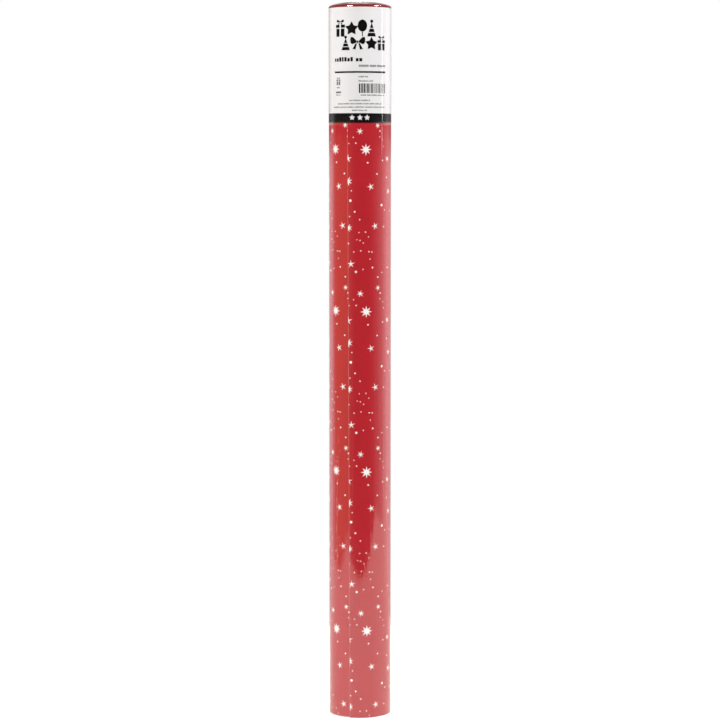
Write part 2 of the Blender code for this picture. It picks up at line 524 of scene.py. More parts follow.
def rim_edges(triangles):
    """Edges that only one triangle uses, in that triangle's direction."""
    seen = {}
    for tri, _ in triangles:
        for a, b in zip(tri, (*tri[1:], tri[0])):
            seen[(a, b)] = True
    return [(a, b) for a, b in seen if (b, a) not in seen]


trial_dot = [(2 + x, 2 + y) for x, y in polygon(1.5, 10)]
trial_triangles = triangulate(4, 4, [trial_dot], 1.0, 1.0)[1]
print("trial: a 4 mm square with one dot takes", len(trial_triangles), "triangles")

# %% Bending a sheet and making a piece
def bent_sheet(flat, triangles, place, ink_of, back_ink, edge_ink):
    """Bend a flat sheet into a closed thin solid. place(point, side) gives the front (0) or back (1)."""
    count = len(flat)
    verts = [place(p, 0) for p in flat] + [place(p, 1) for p in flat]
    faces, inks = [], []
    for tri, ids in triangles:
        faces.append(tuple(tri))
        inks.append(ink_of(ids))
        faces.append(tuple(count + i for i in reversed(tri)))
        inks.append(back_ink)
    for a, b in rim_edges(triangles):
        faces.append((b, a, count + a, count + b))
        inks.append(edge_ink)
    return verts, faces, inks


def build_piece(name, verts, faces, inks, materials, normal_at=None):
    """Make an object. normal_at(face index, vertex) can give exact normals for curved faces."""
    mesh = bpy.data.meshes.new(name)
    mesh.from_pydata([tuple(v) for v in verts], [], faces)
    for material in materials:
        mesh.materials.append(material)
    mesh.polygons.foreach_set("material_index", inks)
    mesh.polygons.foreach_set("use_smooth", [True] * len(faces))
    if normal_at:
        mesh.update()
        normals = []
        for face in mesh.polygons:
            for index in face.vertices:
                normals.append(normal_at(face, verts[index]))
        mesh.normals_split_custom_set(normals)
    obj = bpy.data.objects.new(name, mesh)
    bpy.context.scene.collection.objects.link(obj)
    return obj


ROUND_FACE = 0.9               # a face whose normal points this much outwards counts as round


def round_normal(face, point):
    """Normal of a face that lies on the roll's round side; other faces keep their flat normal."""
    flat = face.normal
    radial = Vector((point[0], point[1], 0)).normalized()
    along = flat.dot(radial)
    if abs(along) < ROUND_FACE:
        return tuple(flat)
    return tuple(radial if along > 0 else -radial)


print("helpers", [made.__name__ for made in (bent_sheet, build_piece, round_normal)])

# %% [markdown]
# ## The wound web
#
# The outer lap and a little more carries the drawn print. The rest of the web is plain red sheet, wound
# lap by lap to the core with 60 steps a turn. It is seen only at the ends, where its cut edges make fine
# rings, so each of its steps needs just four points.

# %% Printed lap
PRINTED_MM = 160.0
WORN_HAIR_MM = 0.08            # the ink is worn through this far in from the free edge
COLUMN_MM, ROW_MM = 1.0, 10.0  # grid that lets a flat sheet bend
RED, BARE, BACK, EDGE = range(4)


def printed_outlines():
    """Outlines of every repeat that reaches the printed stretch."""
    placed = []
    for column in range(-1, math.ceil(PRINTED_MM / REPEAT_MM)):
        for row in range(-1, math.ceil(PAPER_WIDTH / MM / REPEAT_MM)):
            for outline in OUTLINES:
                shifted = [(x + column * REPEAT_MM, y + row * REPEAT_MM) for x, y in outline]
                xs = [p[0] for p in shifted]
                ys = [p[1] for p in shifted]
                across = max(xs) > 0 and min(xs) < PRINTED_MM
                up = max(ys) > 0 and min(ys) < PAPER_WIDTH / MM
                if across and up:
                    placed.append(shifted)
    return placed


def build_printed_lap():
    """The outer lap, with its stars. A hair of the ink is worn through along the free edge."""
    slant, tall = CUT_SLANT / MM, PAPER_WIDTH / MM
    edge_band = [(slant, 0), (slant + WORN_HAIR_MM, 0), (WORN_HAIR_MM, tall), (0, tall)]
    outlines = printed_outlines() + [edge_band]
    flat, triangles = triangulate(PRINTED_MM, tall, outlines, COLUMN_MM, ROW_MM, slant)

    def ink_of(ids):
        if len(outlines) in ids:
            return EDGE
        return BARE if len(ids) > 1 else RED

    def place(point, side):
        return sheet_point(turns_at(point.x * MM), point.y * MM, side * SHEET_THICKNESS)

    return bent_sheet(flat, triangles, place, ink_of, BACK, EDGE)


verts, faces, inks = build_printed_lap()
print("printed lap", len(faces), "faces")

# %% Plain laps
LAP_STEPS = 60


def build_plain_laps(start):
    """The laps from the end of the printed stretch to the core."""
    first = turns_at(PRINTED_MM * MM)
    steps = round((LAP_COUNT - first) * LAP_STEPS)
    verts, faces, inks = [], [], []
    for step in range(steps + 1):
        turns = first + (LAP_COUNT - first) * step / steps
        for depth in (0.0, SHEET_THICKNESS):
            verts.append(sheet_point(turns, 0.0, depth))
            verts.append(sheet_point(turns, PAPER_WIDTH, depth))
    for step in range(steps):
        low, high, low_in, high_in = (start + step * 4 + k for k in range(4))
        ahead = 4              # points in one step
        faces.append((low, low + ahead, high + ahead, high))
        faces.append((low_in, high_in, high_in + ahead, low_in + ahead))
        faces.append((high, high + ahead, high_in + ahead, high_in))
        faces.append((low, low_in, low_in + ahead, low + ahead))
        inks += [RED, BACK, EDGE, EDGE]
    last = start + steps * 4
    faces.append((start, start + 1, start + 3, start + 2))
    faces.append((last, last + 2, last + 3, last + 1))
    inks += [EDGE, EDGE]
    return verts, faces, inks


more_verts, more_faces, more_inks = build_plain_laps(len(verts))
printed_paper = build_piece(
    "printed_paper",
    verts + more_verts,
    faces + more_faces,
    inks + more_inks,
    [RED_INK, BARE_COAT, SHEET_BACK, CUT_EDGE],
    normal_at=round_normal,
)
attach(printed_paper, "roll")
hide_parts("paper_web")
print("printed paper", len(printed_paper.data.polygons), "faces")

# %% [markdown]
# ## The core
#
# A paperboard core is two strips of board wound helically on a mandrel, one over the other, glued. Each
# strip's edges butt against themselves, which leaves a fine helical seam. The outer strip is wound half a
# strip further along, so the seams don't line up. Each ply here is that strip: columns round the helix,
# clipped by the cut ends of the tube.

# %% Core finishes
def board_finish(name, color, shade):
    """Grey-brown recycled board with dark and light flecks."""
    material, tree, shader = start_material(name, 0.88)
    fibre = use_group(tree, PAPER_FIBRE, Cloud_Scale=220.0, Fibre_Scale=1500.0)
    tone = mix_colors(tree, fibre.outputs["Tone"], (*shade, 1), (*color, 1))
    flecks = use_group(tree, INK_PINHOLES, Scale=900.0, Amount=0.16)
    tone = mix_colors(tree, flecks.outputs["Specks"], tone, (0.62, 0.52, 0.42, 1))
    edge_band = use_group(tree, END_MASK, Reach=0.003)
    tone = mix_colors(tree, edge_band.outputs["Near End"], tone, (0.58, 0.46, 0.34, 1))
    tree.links.new(tone, shader.inputs["Base Color"])
    tree.links.new(bump(tree, fibre.outputs["Height"], 0.00012), shader.inputs["Normal"])
    return material


LINER_BOARD = board_finish("liner_board", (0.42, 0.29, 0.18), (0.30, 0.20, 0.12))
OUTER_BOARD = board_finish("outer_board", (0.36, 0.24, 0.15), (0.25, 0.165, 0.10))
print("board finishes", LINER_BOARD.name, OUTER_BOARD.name)

# %% Core plies
STRIP_WIDTH = 60 * MM
SEAM = 0.35 * MM
CORE_STEPS = 72                # round one turn
LINER_THICKNESS = 0.45 * MM
PLY_GAP = 0.02 * MM            # the glue between the two plies
SHORTEST_COLUMN = 0.2 * MM     # the strip's pointed ends are cut off here


def build_ply(name, inner, outer, low, high, shift, material):
    """One helical strip of board, clipped to the tube's length."""
    length = high - low
    turns = (length + STRIP_WIDTH) / STRIP_WIDTH
    steps = math.ceil(turns * CORE_STEPS)
    columns = []
    for step in range(steps + 1):
        turn = -1 + step / CORE_STEPS
        bottom = min(max(turn * STRIP_WIDTH, 0), length)
        top = min(max((turn + 1) * STRIP_WIDTH - SEAM, 0), length)
        if top - bottom > SHORTEST_COLUMN:
            columns.append((2 * math.pi * (turn + shift), low + bottom, low + top))
    verts, faces = [], []
    for angle, bottom, top in columns:
        for radius in (outer, inner):
            for level in (bottom, top):
                verts.append((radius * math.cos(angle), radius * math.sin(angle), level))
    for column in range(len(columns) - 1):
        a, b, c, d = (column * 4 + k for k in range(4))
        faces.append((a, a + 4, b + 4, b))
        faces.append((c, d, d + 4, c + 4))
        faces.append((b, b + 4, d + 4, d))
        faces.append((a, c, c + 4, a + 4))
    last = (len(columns) - 1) * 4
    faces.append((0, 1, 3, 2))
    faces.append((last, last + 2, last + 3, last + 1))
    return build_piece(name, verts, faces, [0] * len(faces), [material], normal_at=round_normal)


LINER_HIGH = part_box("core_inner_ply")[1]
CORE_FOOT = WEB_FOOT + LAP_RISE
CORE_TOP = CORE_FOOT + PAPER_WIDTH
LINER_RADIUS = LINER_HIGH.x - LINER_THICKNESS
PLY_SPLIT = LINER_HIGH.x + 0.12 * MM
inner_ply = build_ply("inner_ply", LINER_RADIUS, PLY_SPLIT, CORE_FOOT, CORE_TOP, 0.0, LINER_BOARD)
outer_ply = build_ply("outer_ply", PLY_SPLIT + PLY_GAP, CORE_RADIUS, CORE_FOOT, CORE_TOP, 0.5, OUTER_BOARD)
plies = (
    (inner_ply, "core_inner_ply", "core_liner"),
    (outer_ply, "core_outer_ply", "core_board"),
)
for ply, node, slot in plies:
    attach(ply, "roll")
    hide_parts(node)
    print(ply.name, len(ply.data.polygons), "faces")

# %% [markdown]
# ## The pick-up glue
#
# A machine starts the web on the core with a line of glue. It dries as a row of flattened dabs between
# the board and the first lap. Nobody sees it until the roll is used up, but it is part of the roll.

# %% Glue finish
def glue_finish():
    """Dried glue, yellowish and half glossy."""
    material, tree, shader = start_material("dried_glue", 0.35)
    cloud = use_group(tree, PAPER_FIBRE, Cloud_Scale=400.0, Fibre_Scale=1200.0)
    tone = mix_colors(tree, cloud.outputs["Tone"], (0.62, 0.55, 0.38, 1), (0.80, 0.75, 0.60, 1))
    tree.links.new(tone, shader.inputs["Base Color"])
    tree.links.new(bump(tree, cloud.outputs["Height"], 0.00005), shader.inputs["Normal"])
    return material


DRIED_GLUE = glue_finish()
print("glue finish", DRIED_GLUE.name)

# %% Glue line
GLUE_LOW, GLUE_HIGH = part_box("start_glue")
GLUE_SWELL = 0.07 * MM         # height of a dab over its edges


def build_glue():
    """A thin strip on the core whose edges swell and narrow, dab after dab."""
    middle = math.atan2((GLUE_LOW.y + GLUE_HIGH.y) / 2, (GLUE_LOW.x + GLUE_HIGH.x) / 2)
    rows, columns = 96, 6
    verts, faces = [], []
    for row in range(rows + 1):
        level = GLUE_LOW.z + (GLUE_HIGH.z - GLUE_LOW.z) * row / rows
        half = (3.0 + 0.9 * math.sin(row * 0.8) + 0.4 * noise.noise(Vector((row * 0.31, 0, 0)))) * MM
        for column in range(columns + 1):
            across = 2 * column / columns - 1
            angle = middle + across * half / CORE_RADIUS
            swell = GLUE_SWELL * math.sqrt(max(1 - across * across, 0.05))
            for radius in (CORE_RADIUS + 0.02 * MM + swell, CORE_RADIUS + 0.01 * MM):
                verts.append((radius * math.cos(angle), radius * math.sin(angle), level))
    width = (columns + 1) * 2
    for row in range(rows):
        for column in range(columns):
            a = row * width + column * 2
            faces.append((a, a + 2, a + 2 + width, a + width))
            faces.append((a + 1, a + 1 + width, a + 3 + width, a + 3))
        a = row * width
        b = a + columns * 2
        faces.append((a, a + width, a + width + 1, a + 1))
        faces.append((b, b + 1, b + 1 + width, b + width))
    top = rows * width
    for column in range(columns):
        a = column * 2
        faces.append((a, a + 1, a + 3, a + 2))
        faces.append((top + a, top + a + 2, top + a + 3, top + a + 1))
    return build_piece("glue_line", verts, faces, [0] * len(faces), [DRIED_GLUE], normal_at=round_normal)


glue_line = build_glue()
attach(glue_line, "roll")
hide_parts("start_glue")
print("glue line", len(glue_line.data.polygons), "faces")

# %% [markdown]
# ## The label
#
# A sheet of white paper, 66 by 80 mm, lies round the front of the upper end under the film. It carries
# two rows of bold black figures, a few small lines, a rule, a bar block and a black band with three small
# stars. None of it is lettering: words are drawn as plain dashes and the figures are party shapes.
#
# It is drawn and triangulated like the printed web, then bent round the roll.

# %% Label finishes
LABEL_STOCK = paper_finish("label_stock", (0.785, 0.783, 0.80), (0.76, 0.756, 0.772), 0.45, 0.00001)
BLACK_INK = paper_finish(
    "label_black",
    (0.0035, 0.0028, 0.0034),
    (0.0027, 0.0021, 0.0026),
    roughness=0.38,
    relief=0.00001,
    pinholes=0.03,
    speck_color=(0.05, 0.045, 0.05),
)
GREY_INK = paper_finish(
    "label_grey",
    (0.19, 0.18, 0.185),
    (0.14, 0.135, 0.14),
    roughness=0.42,
    relief=0.00001,
    pinholes=0.08,
    speck_color=(0.5, 0.5, 0.5),
)
LABEL_EDGE = paper_finish("label_edge", (0.72, 0.70, 0.68), (0.60, 0.58, 0.56), 0.85, 0.00003)
print("label finishes", LABEL_STOCK.name, BLACK_INK.name, GREY_INK.name, LABEL_EDGE.name)

# %% Drawing on the label
LABEL_WIDE = 66.0          # mm
LABEL_TALL = 80.0
STOCK, BLACK, GREY, RIM = range(4)
artwork = []               # (ink, outline), outlines in mm from the label's lower left corner


def draw(ink, outline):
    """Add one outline, given as mm right of the middle and mm below the top edge."""
    flat = [(x + LABEL_WIDE / 2, LABEL_TALL - depth) for x, depth in outline]
    area = sum(a[0] * b[1] - b[0] * a[1] for a, b in zip(flat, flat[1:] + flat[:1]))
    artwork.append((ink, flat if area > 0 else flat[::-1]))


def bar(ink, left, top, right, bottom):
    """A plain rectangle."""
    draw(ink, [(left, top), (right, top), (right, bottom), (left, bottom)])


def round_shape(ink, x, depth, wide, tall, corners):
    """An ellipse."""
    steps = [2 * math.pi * k / corners for k in range(corners)]
    draw(ink, [(x + wide / 2 * math.cos(a), depth + tall / 2 * math.sin(a)) for a in steps])


def star(ink, x, depth, across, waist):
    """A five-pointed star, point up."""
    draw(ink, [(x + px, depth - py) for px, py in polygon(across, 5, waist)])


print("label", LABEL_WIDE, "by", LABEL_TALL, "mm, outlines so far", len(artwork))

# %% Party shapes and lines of dashes
def bow(ink, x, depth, wide, tall):
    """Two loops, a knot and two tails."""
    for side in (-1, 1):
        loop = [
            (0.06, 0.34), (0.30, 0.06), (0.46, 0.04), (0.50, 0.20),
            (0.48, 0.46), (0.36, 0.58), (0.06, 0.44),
        ]
        tail = [(0.05, 0.52), (0.14, 0.50), (0.36, 0.96), (0.24, 0.92), (0.16, 1.0)]
        for part in (loop, tail):
            draw(ink, [(x + side * wide * px, depth + tall * py) for px, py in part])
    round_shape(ink, x, depth + tall * 0.40, wide * 0.10, tall * 0.22, 10)


def gift(ink, x, depth, wide, tall):
    """A box with a lid and a small bow on it."""
    bow(ink, x, depth, wide * 0.8, tall * 0.30)
    for side in (-1, 1):
        near, lid, body = x + side * wide * 0.07, x + side * wide * 0.50, x + side * wide * 0.45
        bar(ink, min(near, lid), depth + tall * 0.30, max(near, lid), depth + tall * 0.48)
        bar(ink, min(near, body), depth + tall * 0.53, max(near, body), depth + tall)


def balloon(ink, x, depth, wide, tall):
    """A balloon with its knot and a short string."""
    round_shape(ink, x, depth + tall * 0.36, wide, tall * 0.72, 20)
    draw(ink, [
        (x - wide * 0.12, depth + tall * 0.80),
        (x, depth + tall * 0.71),
        (x + wide * 0.12, depth + tall * 0.80),
    ])
    bar(ink, x - wide * 0.05, depth + tall * 0.81, x + wide * 0.05, depth + tall)


def party_hat(ink, x, depth, wide, tall):
    """A striped cone with a ball on its tip."""
    round_shape(ink, x, depth + tall * 0.10, wide * 0.34, tall * 0.20, 12)
    tip = 0.16                 # share of the height above the cone's tip
    for upper, lower in ((0.18, 0.50), (0.54, 0.74), (0.78, 1.0)):
        inner = wide * 0.5 * (upper - tip) / (1 - tip)
        outer = wide * 0.5 * (lower - tip) / (1 - tip)
        draw(ink, [
            (x - inner, depth + tall * upper),
            (x + inner, depth + tall * upper),
            (x + outer, depth + tall * lower),
            (x - outer, depth + tall * lower),
        ])


def word_line(ink, left, right, top, bottom, seed):
    """A line of small print, drawn as groups of upright dashes."""
    rng = random.Random(seed)
    height = bottom - top
    place = left
    in_word = 0
    while place < right:
        wide = height * rng.uniform(0.45, 0.75)
        bar(ink, place, top + height * rng.choice((0, 0, 0.25)), min(place + wide, right), bottom)
        in_word += 1
        gap = 0.18 if in_word < rng.randint(4, 9) else 0.7
        in_word = in_word if gap < 0.5 else 0
        place += wide + height * gap


print("party shapes", [made.__name__ for made in (bow, gift, balloon, party_hat)])

# %% Label artwork
gift(BLACK, -14.9, 8.6, 8.0, 11.8)
star(BLACK, -5.9, 15.0, 10.0, 0.55)
balloon(BLACK, 1.7, 8.8, 6.6, 11.6)
party_hat(BLACK, 8.3, 8.8, 6.6, 11.6)
party_hat(BLACK, -10.4, 19.8, 6.6, 10.0)
bow(BLACK, -1.6, 20.4, 10.6, 9.4)
star(BLACK, 8.2, 25.4, 9.6, 0.55)
gift(BLACK, 16.4, 19.8, 7.0, 10.0)
word_line(BLACK, -20.1, 2.1, 34.6, 37.6, 3)
word_line(GREY, -0.7, 20.1, 39.9, 41.4, 4)
bar(BLACK, -20.3, 44.3, 20.4, 45.5)

# A small grey box and three lines stand where a mark would be printed.
gift(GREY, -16.6, 48.4, 3.8, 5.4)
word_line(GREY, -18.0, -15.2, 55.0, 56.0, 9)
bar(GREY, -19.0, 58.2, -14.2, 59.4)
word_line(GREY, -18.8, -14.4, 60.3, 61.0, 10)

word_line(GREY, -1.0, 5.6, 47.6, 48.6, 5)
word_line(GREY, -1.0, 9.3, 50.6, 51.6, 6)

# The bar block is a row of random bars and means nothing.
BLOCK_LEFT, BLOCK_RIGHT = -0.7, 20.1
bar_rng = random.Random(11)
place = BLOCK_LEFT
while place < BLOCK_RIGHT - 0.5:
    thick = bar_rng.choice((0.33, 0.33, 0.66, 1.0))
    bar(BLACK, place, 52.8, min(place + thick, BLOCK_RIGHT), 59.4)
    place += thick + bar_rng.choice((0.3, 0.33, 0.6))
word_line(GREY, 0.6, 19.0, 60.4, 61.3, 8)
CLOSING_LINES = [          # left, right and depth of the lowest four lines, in mm
    (-7.8, 7.1, 64.5),
    (-16.9, 16.0, 66.8),
    (-21.3, 20.1, 69.1),
    (-5.6, 4.9, 71.4),
]
for seed, (left, right, depth) in enumerate(CLOSING_LINES, 20):
    word_line(GREY, left, right, depth - 0.45, depth + 0.45, seed)

# The band runs off both ends, a hair lower at its right.
draw(BLACK, [(-34, 73.15), (34, 73.45), (34, 81), (-34, 81)])
for x in (-5.6, 0.0, 5.0):
    star(STOCK, x, 76.4, 4.4, 0.48)
print("label artwork", len(artwork), "shapes")

# %% Label piece
LABEL_TOP = WEB_FOOT + PAPER_WIDTH - 0.1 * MM
LABEL_FACE = WEB_RADIUS + 0.10 * MM
LABEL_SHEET = 0.08 * MM


def build_label():
    """Bend the artwork's sheet round the front of the roll."""
    outlines = [outline for _, outline in artwork]
    flat, triangles = triangulate(LABEL_WIDE, LABEL_TALL, outlines, COLUMN_MM, ROW_MM)

    def place(point, side):
        radius = LABEL_FACE - side * LABEL_SHEET
        angle = -math.pi / 2 + (point.x - LABEL_WIDE / 2) * MM / LABEL_FACE
        level = LABEL_TOP - (LABEL_TALL - point.y) * MM
        return Vector((radius * math.cos(angle), radius * math.sin(angle), level))

    def ink_of(ids):
        return artwork[max(ids) - 1][0] if max(ids) else STOCK

    verts, faces, inks = bent_sheet(flat, triangles, place, ink_of, RIM, RIM)
    materials = [LABEL_STOCK, BLACK_INK, GREY_INK, LABEL_EDGE]
    return build_piece("printed_label", verts, faces, inks, materials, normal_at=round_normal)


printed_label = build_label()
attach(printed_label, "wrapper")
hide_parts("label")
print("label", len(printed_label.data.polygons), "faces, top at", round(LABEL_TOP / MM, 1), "mm")

# %% [markdown]
# ## The clear film
#
# Shrink film is a thin tube, closed by a lap seam at the back. Heat pulls it tight against the paper and
# draws both ends over the cut edges into puckered collars round an open hole. It is built as a thin closed
# shell, so the light through it, the ridge over the free edge and the label's edges all come from real
# shape.
#
# Film shows only by what it reflects. The finish is a mirror whose coverage follows Fresnel: faint when
# seen square on, strong towards the sides. Its inner face adds nothing, so each wall reflects once. A
# glass shader would need the film to bend light, which so thin a sheet doesn't do.
#
# The relief is drawn out along the roll, as film shrinks round it. The upright ridges are strong in the
# lower part, where they break up the reflections, and fade towards the label.

# %% Film finish
FILM_TONE = (0.97, 0.97, 0.97, 1)
FOOT_PAINTED_SHADE = (0.45, 0.34, 0.32, 1)      # painted shade: the film's reflection is darkened right at the foot
RIDGES_LOW, RIDGES_HIGH = 9.0, 1.5     # strength of the upright ridges below and above the fade
FADE_FROM, FADE_TO = 0.17, 0.30        # metres up the roll


def film_relief(tree, place):
    """Height of the waves, ripple, end wrinkles and upright ridges. Gives it with the ripple alone."""
    drawn = add_node(tree, "ShaderNodeMapping", {"Vector": place, "Scale": (1.0, 1.0, 0.30)}).outputs[0]
    ripple = noise_texture(tree, drawn, 260.0, 3.0)
    wave = noise_texture(tree, drawn, 75.0, 1.0)
    strain = noise_texture(tree, place, 1100.0, 2.0)
    near_end = use_group(tree, END_MASK, Reach=0.012)
    wrinkle = math_node(tree, "MULTIPLY", near_end.outputs["Near End"], strain)
    height = math_node(tree, "ADD", ripple, math_node(tree, "MULTIPLY", wrinkle, 2.0))
    height = math_node(tree, "ADD", height, math_node(tree, "MULTIPLY", wave, 8.0))
    pulled = add_node(tree, "ShaderNodeMapping", {"Vector": place, "Scale": (1.0, 1.0, 0.022)}).outputs[0]
    ridges = noise_texture(tree, pulled, 650.0, 2.0)
    level = add_node(tree, "ShaderNodeSeparateXYZ", {0: place}).outputs["Z"]
    pull = add_node(
        tree,
        "ShaderNodeMapRange",
        {
            "Value": level,
            "From Min": FADE_FROM,
            "From Max": FADE_TO,
            "To Min": RIDGES_LOW,
            "To Max": RIDGES_HIGH,
        },
        interpolation_type="SMOOTHSTEP",
    ).outputs[0]
    return math_node(tree, "ADD", height, math_node(tree, "MULTIPLY", ridges, pull)), ripple


def film_finish():
    """Clear film as a Fresnel-weighted mirror with a trace of haze."""
    material, tree, shader = start_material("film_gloss", 0.09, Metallic=1.0)
    place = add_node(tree, "ShaderNodeTexCoord").outputs["Object"]
    height, ripple = film_relief(tree, place)
    normal = bump(tree, height, 0.000018)
    fresnel = add_node(tree, "ShaderNodeFresnel", {"IOR": 1.775, "Normal": normal})
    outside = math_node(tree, "SUBTRACT", 1.0, add_node(tree, "ShaderNodeNewGeometry").outputs["Backfacing"])
    gathered = use_group(tree, END_MASK, Lower_End=0.0004, Upper_End=0.5003, Reach=0.0004)
    gathers = math_node(tree, "MULTIPLY", gathered.outputs["Near End"], 0.16)
    mirror = math_node(tree, "MULTIPLY", math_node(tree, "ADD", fresnel.outputs[0], gathers), outside)
    tree.links.new(mirror, shader.inputs["Alpha"])
    # Painted shade: the mirror's tint darkens right at the foot, for the shade where the film meets the
    # table.
    foot_shade_band = use_group(tree, END_MASK, Lower_End=0.0004, Upper_End=0.6, Reach=0.0006)
    tint = mix_colors(tree, foot_shade_band.outputs["Near End"], FILM_TONE, FOOT_PAINTED_SHADE)
    tree.links.new(tint, shader.inputs["Base Color"])
    rough = add_node(tree, "ShaderNodeMapRange", {"Value": ripple, "To Min": 0.04, "To Max": 0.10})
    tree.links.new(rough.outputs[0], shader.inputs["Roughness"])
    tree.links.new(normal, shader.inputs["Normal"])
    return material


CLEAR_FILM = film_finish()
print("film finish", CLEAR_FILM.name, len(CLEAR_FILM.node_tree.nodes), "nodes")

# %% Film sizes
FILM_SHEET = 0.05 * MM
FILM_WALL = WEB_RADIUS + 0.09 * MM
LABEL_LIFT = 0.10 * MM         # the film stands this much further out over the label
LABEL_BEND = 0.9               # mm in which it comes down off the label's edges
EDGE_RIDGE = 0.06 * MM         # low ridge over the paper's free edge
SEAM_ANGLE = math.pi / 2 + 0.06
SEAM_HALF = 4.3                # mm, half the width of the lap seam
SEAM_RISE = 0.05 * MM          # the second layer of film
WOBBLE = 0.012 * MM
CREASE_ANGLE = math.radians(-90 - 46)
CREASE_RISE = 0.09 * MM
CREASE_LOW, CREASE_HIGH = 86, 196      # mm up the roll
CREASE_FADE = 14               # mm
SHOULDER = 500.04 * MM
DOME_HEIGHT = 4.1 * MM
DOME_POWER = 0.7               # 1 would be an ellipse; less makes a steeper rim and a flatter middle
FOOT_CORNER = 0.2 * MM         # the film is drawn tight over the laps' edge
HOLE_RADIUS = 9.5 * MM
EVEN_COLUMNS = 288
CREASE_OFFSETS = (-0.5, -0.35, -0.2, -0.1, 0, 0.1, 0.2, 0.35, 0.5)   # mm, extra columns at the crease
crease_columns = [(CREASE_ANGLE + offset * MM / FILM_WALL) % (2 * math.pi) for offset in CREASE_OFFSETS]
COLUMNS = sorted([2 * math.pi * step / EVEN_COLUMNS for step in range(EVEN_COLUMNS)] + crease_columns)
AROUND = len(COLUMNS)
print("film wall", round(FILM_WALL / MM, 2), "mm from the axis,", AROUND, "columns round it")

# %% Film wall
def ease(value):
    """Smooth step from 0 to 1."""
    value = min(max(value, 0.0), 1.0)
    return value * value * (3 - 2 * value)


def angle_gap(angle, other):
    """Signed difference of two angles."""
    return (angle - other + math.pi) % (2 * math.pi) - math.pi


def film_wall(angle, level):
    """Outer radius of the film on the side of the roll."""
    radius = FILM_WALL
    off_front = abs(angle_gap(angle, -math.pi / 2)) * FILM_WALL / MM
    over_label = ease((LABEL_WIDE / 2 + 1.0 - off_front) / LABEL_BEND)
    over_label *= ease((level - LABEL_TOP) / MM / LABEL_BEND + LABEL_TALL / LABEL_BEND + 1.1)
    radius += LABEL_LIFT * over_label
    free_edge = FREE_EDGE_ANGLE + WRAP_TWIST * (level / PAPER_WIDTH - 0.5)
    free_edge += CUT_SLANT * (1 - level / PAPER_WIDTH) / WEB_RADIUS
    past_edge = angle_gap(angle, free_edge) * FILM_WALL / MM
    ridge = ease(1 + past_edge / 1.6) if past_edge < 0 else ease(1 - past_edge / 0.6)
    radius += EDGE_RIDGE * ridge * (1 - over_label)
    seam = abs(angle_gap(angle, SEAM_ANGLE)) * FILM_WALL / MM
    radius += SEAM_RISE * ease((SEAM_HALF - seam) / 0.5)
    ripple = noise.noise(Vector((math.cos(angle) * 1.6, math.sin(angle) * 1.6, level * 22)))
    radius += WOBBLE * ripple
    crease = angle_gap(angle, CREASE_ANGLE) * FILM_WALL / MM
    tall = ease((level / MM - CREASE_LOW) / CREASE_FADE) * ease((CREASE_HIGH - level / MM) / CREASE_FADE)
    radius += CREASE_RISE * tall * math.exp(-(crease / 0.38) ** 2)
    return radius


over_edge = film_wall(FREE_EDGE_ANGLE, PAPER_WIDTH / 2)
print("film over the free edge", round(over_edge / MM, 2), "mm from the axis")

# %% Film ends and profile
def pucker(angle, inward):
    """Height of the gathered folds, growing from the shoulder to the hole."""
    folds = math.sin(angle * 23 + 2.1 * math.sin(angle * 3)) + 0.6 * math.sin(angle * 41 + 1.3)
    folds += 0.7 * math.sin(angle * 9 + 0.5)
    return 0.22 * MM * folds * ease(inward * 1.15) * inward


def hole_edge(angle):
    """The hole isn't quite round."""
    return HOLE_RADIUS + 0.6 * MM * math.sin(3 * angle + 1) + 0.35 * MM * math.sin(11 * angle)


def film_rings():
    """Profile of the film from the foot's hole, up the side, to the top's hole."""
    rings = [("foot", k / 8) for k in range(9)]
    rings += [("turn", k / 4) for k in range(1, 5)]
    side_levels = [2, 4, 8] + [8 + 8 * k for k in range(1, 51)]
    side_levels += [412, 416, 417.5, 418.3, 418.8, 419.3, 419.8, 421, 425]
    side_levels += [425 + 6 * k for k in range(1, 12)] + [495, 498, 499.3]
    rings += [("side", level * MM) for level in side_levels]
    rings += [("dome", k / 18) for k in range(19)]
    return rings


def film_point(kind, step, angle, depth):
    """A point of the film's outer face, or of its inner face when depth is the film's thickness."""
    if kind == "side":
        radius, level = film_wall(angle, step) - depth, step
    elif kind == "foot":
        rim = film_wall(angle, 0) - FOOT_CORNER
        radius = hole_edge(angle) + (rim - hole_edge(angle)) * step
        level = 0.3 * abs(pucker(angle, 1 - step)) + depth
    elif kind == "turn":
        swing = step * math.pi / 2
        wall = film_wall(angle, 0)
        radius = wall - FOOT_CORNER + (FOOT_CORNER - depth) * math.sin(swing)
        level = FOOT_CORNER - (FOOT_CORNER - depth) * math.cos(swing)
    else:
        wall = film_wall(angle, SHOULDER)
        reach = wall + 0.1 * MM
        start = math.acos(wall / reach)
        stop = math.acos(hole_edge(angle) / reach)
        swing = start + (stop - start) * step
        radius = reach * math.cos(swing) - depth * math.cos(swing)
        level = SHOULDER + (DOME_HEIGHT - depth) * math.sin(swing) ** DOME_POWER + pucker(angle, step)
    return Vector((radius * math.cos(angle), radius * math.sin(angle), level))


print("film profile", len(film_rings()), "rings")

# %% Film sleeve
def build_film():
    """Join the outer and inner faces into one closed shell."""
    rings = film_rings()
    verts, faces = [], []
    for depth in (0.0, FILM_SHEET):
        for kind, step in rings:
            for angle in COLUMNS:
                verts.append(film_point(kind, step, angle, depth))
    inner = len(rings) * AROUND
    for ring in range(len(rings) - 1):
        for k in range(AROUND):
            a = ring * AROUND + k
            b = ring * AROUND + (k + 1) % AROUND
            faces.append((a, b, b + AROUND, a + AROUND))
            faces.append((inner + a, inner + a + AROUND, inner + b + AROUND, inner + b))
    for ring, flip in ((0, False), (len(rings) - 1, True)):
        for k in range(AROUND):
            a = ring * AROUND + k
            b = ring * AROUND + (k + 1) % AROUND
            rim = (a, inner + a, inner + b, b)
            faces.append(rim[::-1] if flip else rim)
    return build_piece("film_sleeve", verts, faces, [0] * len(faces), [CLEAR_FILM])


